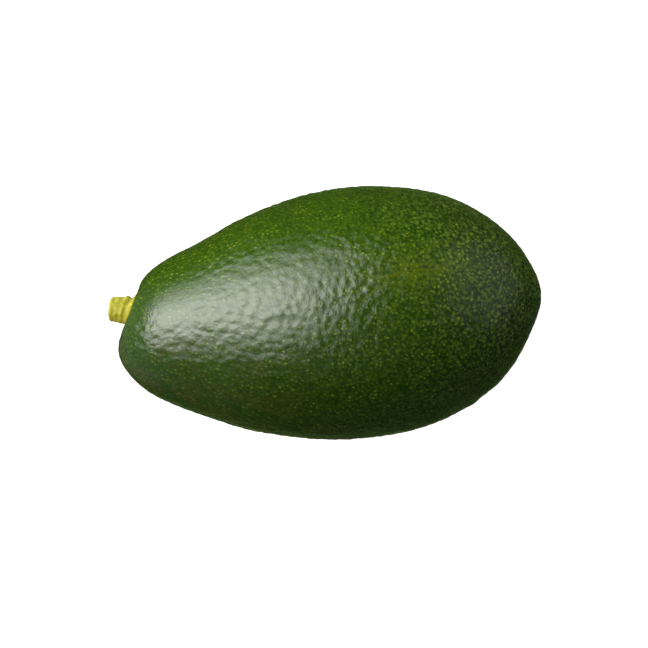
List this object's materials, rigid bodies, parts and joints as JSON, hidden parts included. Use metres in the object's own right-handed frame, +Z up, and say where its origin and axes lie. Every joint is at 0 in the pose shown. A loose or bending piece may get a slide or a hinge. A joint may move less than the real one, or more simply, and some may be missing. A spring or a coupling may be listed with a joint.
{
  "type": "avocado",
  "caption": "Whole green-skinned avocado, pear shaped with a tapered neck and pebbled skin, lying on its side with a short yellow-green stem stub.",
  "frame": {"origin": "on the resting surface, under the middle of the whole object's bounding box", "axes": "+X along the length from the neck and stem to the blossom end, +Y towards the side that the stem seat turns to, +Z up, away from the surface the fruit lies on"},
  "size_m": [0.1164, 0.0678, 0.0663],
  "materials": {
    "skin": "green waxy fruit skin with fine yellow-green lenticels and a pebbled surface, semi-gloss",
    "stem": "yellow-green fresh fruit stalk, finely ribbed, satin"
  },
  "bodies": {
    "root": {"fruit": "skin", "stem": "stem"}
  },
  "joints": []
}
